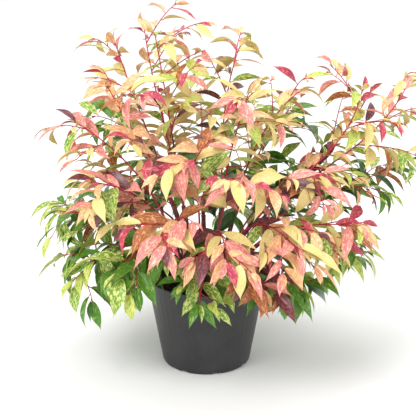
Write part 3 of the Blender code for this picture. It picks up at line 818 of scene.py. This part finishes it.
def pot_material():
    """Thin black moulded plastic with a satin grain and light dust."""
    material, tree, shader = new_material("pot_plastic", (0.020, 0.020, 0.021), 0.42)
    place = tree.nodes.new("ShaderNodeTexCoord")
    grain = add_node(tree, "ShaderNodeTexNoise", Scale=900.0, Detail=2.0, Roughness=0.5)
    haze = add_node(tree, "ShaderNodeTexNoise", Scale=26.0, Detail=3.0, Roughness=0.6)
    tint = ramp_node(tree, [(0.35, (0.0165, 0.0165, 0.0172)), (0.75, (0.030, 0.030, 0.031))])
    gloss = tree.nodes.new("ShaderNodeMapRange")
    gloss.inputs["To Min"].default_value = 0.36
    gloss.inputs["To Max"].default_value = 0.56
    bump = add_node(tree, "ShaderNodeBump", Strength=0.20, Distance=0.0003)
    tree.links.new(place.outputs["Object"], grain.inputs["Vector"])
    tree.links.new(place.outputs["Object"], haze.inputs["Vector"])
    tree.links.new(haze.outputs["Fac"], tint.inputs["Fac"])
    tree.links.new(tint.outputs["Color"], shader.inputs["Base Color"])
    tree.links.new(haze.outputs["Fac"], gloss.inputs["Value"])
    tree.links.new(gloss.outputs["Result"], shader.inputs["Roughness"])
    tree.links.new(grain.outputs["Fac"], bump.inputs["Height"])
    tree.links.new(bump.outputs["Normal"], shader.inputs["Normal"])
    return material


def mottled_material(name, colors, scale, roughness, relief):
    """A rough material whose colour drifts through three stops, with a relief of its own."""
    material, tree, shader = new_material(name, colors[1], roughness)
    place = tree.nodes.new("ShaderNodeTexCoord")
    patches = add_node(tree, "ShaderNodeTexNoise", Scale=scale, Detail=5.0, Roughness=0.65)
    ramp = ramp_node(tree, [(0.32, colors[0]), (0.52, colors[1]), (0.74, colors[2])])
    bump = add_node(tree, "ShaderNodeBump", Strength=0.7, Distance=relief)
    tree.links.new(place.outputs["Object"], patches.inputs["Vector"])
    tree.links.new(patches.outputs["Fac"], ramp.inputs["Fac"])
    tree.links.new(ramp.outputs["Color"], shader.inputs["Base Color"])
    tree.links.new(patches.outputs["Fac"], bump.inputs["Height"])
    tree.links.new(bump.outputs["Normal"], shader.inputs["Normal"])
    return material


def soil_height(x, y):
    """Height of the lumpy soil, lower towards the pot's wall."""
    radius = math.hypot(x, y)
    edge = max(0.0, radius - SOIL_FLAT_RADIUS) / (RIM_RADIUS - WALL - SOIL_FLAT_RADIUS)
    coarse = noise.noise(Vector((x, y, 0.0)) * COARSE_LUMPS)
    fine = noise.noise(Vector((x, y, 3.0)) * FINE_LUMPS)
    lumps = coarse + FINE_LUMP_SHARE * fine
    return SOIL_TOP - SOIL_EDGE_DROP * edge + SOIL_LUMP * lumps


def make_soil(material):
    """A crumbly soil surface with a skirt that goes down inside the pot."""
    limit = wall_radius(SOIL_TOP) - WALL - SOIL_CLEARANCE
    vertices = [Vector((0.0, 0.0, soil_height(0.0, 0.0)))]
    faces = []
    for ring in range(1, SOIL_RINGS + 1):
        radius = limit * ring / SOIL_RINGS
        for k in range(SOIL_SIDES):
            angle = 2.0 * math.pi * k / SOIL_SIDES
            x = radius * math.cos(angle)
            y = radius * math.sin(angle)
            vertices.append(Vector((x, y, soil_height(x, y))))
    for radius, height in ((limit - SKIRT_INSET, SKIRT_TOP), (BASE_RADIUS - SKIRT_INSET, SKIRT_BOTTOM)):
        for k in range(SOIL_SIDES):
            angle = 2.0 * math.pi * k / SOIL_SIDES
            vertices.append(Vector((radius * math.cos(angle), radius * math.sin(angle), height)))
    for k in range(SOIL_SIDES):
        faces.append((0, 1 + k, 1 + (k + 1) % SOIL_SIDES))
    for ring in range(SOIL_RINGS + 1):
        lower = 1 + ring * SOIL_SIDES
        for k in range(SOIL_SIDES):
            n = (k + 1) % SOIL_SIDES
            faces.append((lower + k, lower + SOIL_SIDES + k, lower + SOIL_SIDES + n, lower + n))
    last = 1 + (SOIL_RINGS + 1) * SOIL_SIDES
    faces.append(tuple(last + k for k in range(SOIL_SIDES - 1, -1, -1)))
    item = make_piece("soil_crumbs", (vertices, faces), material)
    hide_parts("soil")


def make_chips(material):
    """Bark chips and crumbs on the soil, one joined piece."""
    rng = random.Random(CHIP_SEED)
    vertices = []
    faces = []
    for _ in range(CHIP_COUNT):
        radius = CHIP_REACH * math.sqrt(rng.random())
        angle = rng.uniform(0.0, 2.0 * math.pi)
        x = radius * math.cos(angle)
        y = radius * math.sin(angle)
        size = rng.uniform(*CHIP_SIZE)
        half = Vector((size, size * rng.uniform(*CHIP_WIDTH_SHARE), size * rng.uniform(*CHIP_HEIGHT_SHARE)))
        turn = rng.uniform(0.0, math.pi)
        centre = Vector((x, y, soil_height(x, y) + half.z * CHIP_SINK))
        start = len(vertices)
        for sx, sy, sz in ((1, 0, 0), (0, 1, 0), (-1, 0, 0), (0, -1, 0), (0, 0, 1), (0, 0, -1)):
            jitter = rng.uniform(*CHIP_JITTER)
            px = (sx * math.cos(turn) * half.x - sy * math.sin(turn) * half.y) * jitter
            py = (sx * math.sin(turn) * half.x + sy * math.cos(turn) * half.y) * jitter
            pz = sz * half.z + rng.uniform(-CHIP_TILT, CHIP_TILT) * half.z
            vertices.append(centre + Vector((px, py, pz)))
        for a, b in ((0, 1), (1, 2), (2, 3), (3, 0)):
            faces.append((start + a, start + b, start + 4))
            faces.append((start + b, start + a, start + 5))
    item = make_piece("bark_chips", (vertices, faces), material, smooth=False)


def make_plant():
    """Canes with bark, then stems and twigs, then the leaves, joined by tone."""
    canes = ([], [])
    plans = [plan for cane in CANES for plan in make_cane(cane, canes)]
    space = Space({plan.mass.name: spine(plan) for plan in plans})
    stems = ([], [])
    petioles = ([], [])
    leaves = []
    for index, plan in enumerate(plans):
        rng = random.Random(SEED + index)
        for order, (path, age) in enumerate(grow_twigs(plan, rng, space, stems)):
            bare = TWIG_BARE if order else STEM_BARE
            grow_leaves(plan.mass, path, bare, age, rng, space, leaves, petioles)
    cane_piece = make_piece("canes_bark", canes, bark_material())
    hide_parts(*["cane_" + cane.name for cane in CANES])
    crimson = stem_material()
    make_piece("stems_and_twigs", stems, crimson)
    make_piece("petioles", petioles, crimson)
    masses = ["foliage_" + plan.mass.name for plan in plans]
    for tone in LEAF_TONES:
        chosen = [leaf for leaf in leaves if leaf.tone == tone]
        item = leaf_piece("leaves_" + tone, chosen, leaf_material(tone))
        if tone == "cream":
            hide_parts(*masses)


def make_stage():
    """A plain pale floor."""
    mesh = bpy.data.meshes.new("floor")
    signs = ((-1, -1), (1, -1), (1, 1), (-1, 1))
    mesh.from_pydata([(FLOOR_HALF * x, FLOOR_HALF * y, 0) for x, y in signs], [], [(0, 1, 2, 3)])
    material, _, _ = new_material("floor", (0.90, 0.90, 0.90), 0.9)
    mesh.materials.append(material)
    floor = bpy.data.objects.new("floor", mesh)
    floor.location.z = -FLOOR_DROP
    bpy.context.scene.collection.objects.link(floor)


def add_light(name, place, target, size, power):
    light = bpy.data.lights.new(name, "AREA")
    light.shape = "SQUARE"
    light.size = size
    light.energy = power
    item = bpy.data.objects.new(name, light)
    item.location = place
    item.rotation_euler = (Vector(target) - Vector(place)).to_track_quat("-Z", "Y").to_euler()
    bpy.context.scene.collection.objects.link(item)


def make_lights():
    """Soft studio light: a bright surround, a large key at the upper left, a weaker fill and a top light."""
    for light in LIGHTS:
        add_light(*light)
    world = bpy.data.worlds.new("surround")
    world.use_nodes = True
    background = world.node_tree.nodes["Background"]
    background.inputs["Color"].default_value = (1.0, 1.0, 1.0, 1.0)
    background.inputs["Strength"].default_value = SURROUND_STRENGTH
    bpy.context.scene.world = world
    bpy.context.scene.view_settings.view_transform = "Standard"


def make_camera():
    """The photograph's camera: 20 degrees above level, straight from the front."""
    elevation = math.radians(ELEVATION_DEG)
    data = bpy.data.cameras.new("camera")
    data.sensor_width = SENSOR
    data.lens = SENSOR * (DISTANCE / METRES_PER_PIXEL) / IMAGE_SIZE
    camera = bpy.data.objects.new("camera", data)
    camera.location = TARGET + Vector((0.0, -math.cos(elevation), math.sin(elevation))) * DISTANCE
    camera.rotation_euler = (math.pi / 2.0 - elevation, 0.0, 0.0)
    bpy.context.scene.collection.objects.link(camera)
    bpy.context.scene.camera = camera


make_camera()
make_stage()
make_lights()
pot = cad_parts["pot"]
pot.data.materials.clear()
pot.data.materials.append(pot_material())
compost_tones = ((0.006, 0.004, 0.003), (0.020, 0.012, 0.008), (0.055, 0.034, 0.022))
chip_tones = ((0.012, 0.007, 0.005), (0.050, 0.026, 0.014), (0.12, 0.065, 0.035))
make_soil(mottled_material("compost", compost_tones, 160.0, 0.95, 0.0012))
make_chips(mottled_material("chips", chip_tones, 120.0, 0.85, 0.0008))
make_plant()
